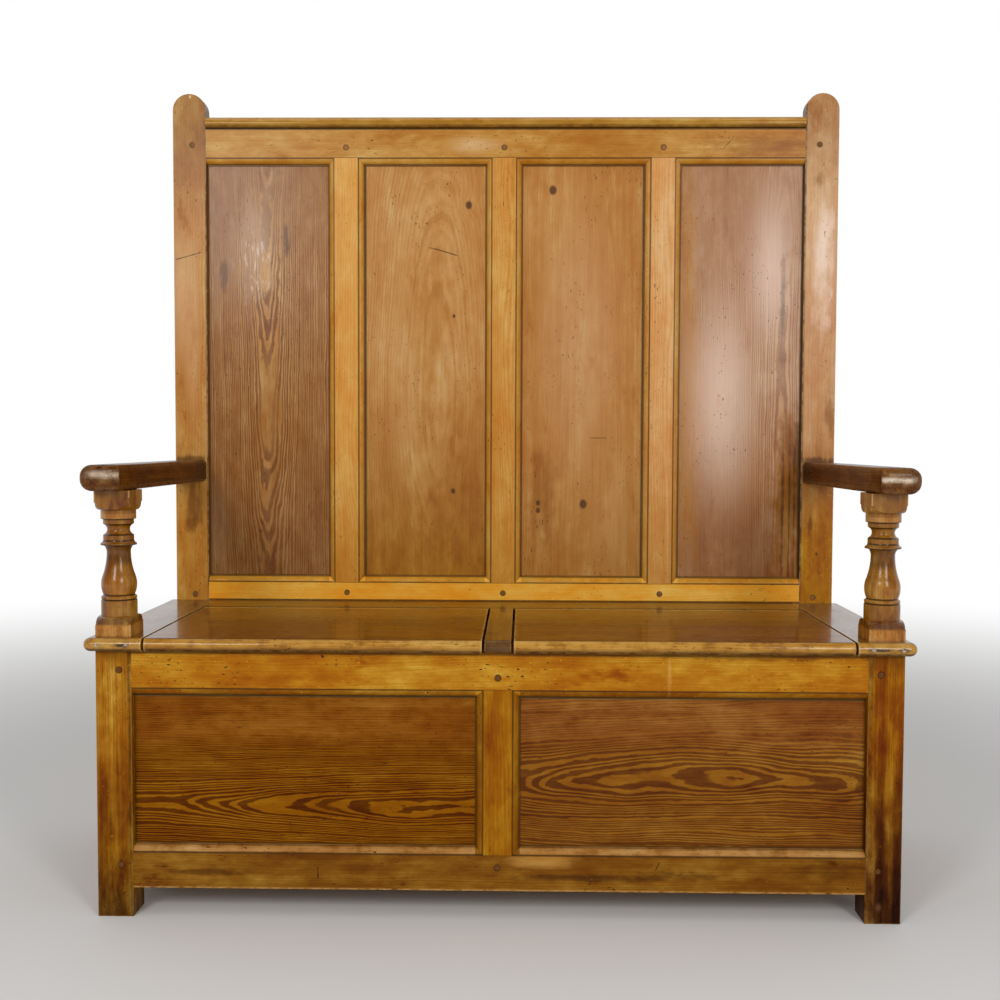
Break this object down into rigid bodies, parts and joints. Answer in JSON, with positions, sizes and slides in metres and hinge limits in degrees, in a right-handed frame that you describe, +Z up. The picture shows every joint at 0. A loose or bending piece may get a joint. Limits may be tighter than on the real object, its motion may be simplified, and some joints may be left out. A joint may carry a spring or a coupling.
{
  "type": "settle bench",
  "caption": "High-backed panelled wooden settle with arms on turned supports and a box seat whose lids hinge up at the rear.",
  "frame": {"origin": "on the floor, at the middle of the settle's plan", "axes": "+X along the settle, -Y towards the sitter's feet (front), +Z up"},
  "size_m": [1.333, 0.5454, 1.4519],
  "materials": {
    "frame_pine": "satin varnish",
    "panel_pine": "satin varnish",
    "seat_pine": "wax polish",
    "inside_pine": "bare",
    "dark_arm": "wax polish",
    "turned_pine": "satin varnish",
    "peg": "satin varnish",
    "brass": "aged",
    "steel": "aged"
  },
  "bodies": {
    "base": {"arm_left": "dark_arm", "arm_right": "dark_arm", "arm_support_left": "turned_pine", "arm_support_right": "turned_pine", "back_bottom_rail": "frame_pine", "back_muntin_centre": "frame_pine", "back_muntin_left": "frame_pine", "back_muntin_right": "frame_pine", "back_panel_1": "panel_pine", "back_panel_2": "panel_pine", "back_panel_3": "panel_pine", "back_panel_4": "panel_pine", "back_post_left": "frame_pine", "back_post_right": "frame_pine", "back_top_rail": "frame_pine", "bottom_board_1": "inside_pine", "bottom_board_2": "inside_pine", "bottom_board_3": "inside_pine", "bottom_board_4": "inside_pine", "bottom_board_5": "inside_pine", "bottom_ledger_back": "inside_pine", "bottom_ledger_front": "inside_pine", "divider_bearer": "inside_pine", "frame_pegs": "peg", "front_bottom_rail": "frame_pine", "front_leg_left": "frame_pine", "front_leg_right": "frame_pine", "front_muntin": "frame_pine", "front_panel_left": "panel_pine", "front_panel_right": "panel_pine", "front_top_rail": "frame_pine", "hinge_frame_leaves": "brass", "hinge_frame_screws": "steel", "hinge_pins": "brass", "rear_lower_rail": "frame_pine", "rear_muntin": "frame_pine", "rear_panel_left": "panel_pine", "rear_panel_right": "panel_pine", "seat_back_strip": "seat_pine", "seat_divider": "seat_pine", "seat_end_left": "seat_pine", "seat_end_right": "seat_pine", "seat_nails": "steel", "side_bottom_rail_left": "frame_pine", "side_bottom_rail_right": "frame_pine", "side_panel_left": "panel_pine", "side_panel_right": "panel_pine", "side_top_rail_left": "frame_pine", "side_top_rail_right": "frame_pine", "top_capping": "frame_pine"},
    "lid_left": {"hinge_lid_leaves_left": "brass", "hinge_lid_screws_left": "steel", "lid_left": "seat_pine", "lid_left_batten_left": "inside_pine", "lid_left_batten_right": "inside_pine"},
    "lid_right": {"hinge_lid_leaves_right": "brass", "hinge_lid_screws_right": "steel", "lid_right": "seat_pine", "lid_right_batten_left": "inside_pine", "lid_right_batten_right": "inside_pine"}
  },
  "joints": [
    {"name": "lid_left_hinge", "type": "hinge", "parent": "base", "child": "lid_left", "pos_m": [-0.296, 0.134, 0.4565], "axis": [-1, 0, 0], "range_deg": [0, 106]},
    {"name": "lid_right_hinge", "type": "hinge", "parent": "base", "child": "lid_right", "pos_m": [0.296, 0.134, 0.4565], "axis": [-1, 0, 0], "range_deg": [0, 106]}
  ]
}
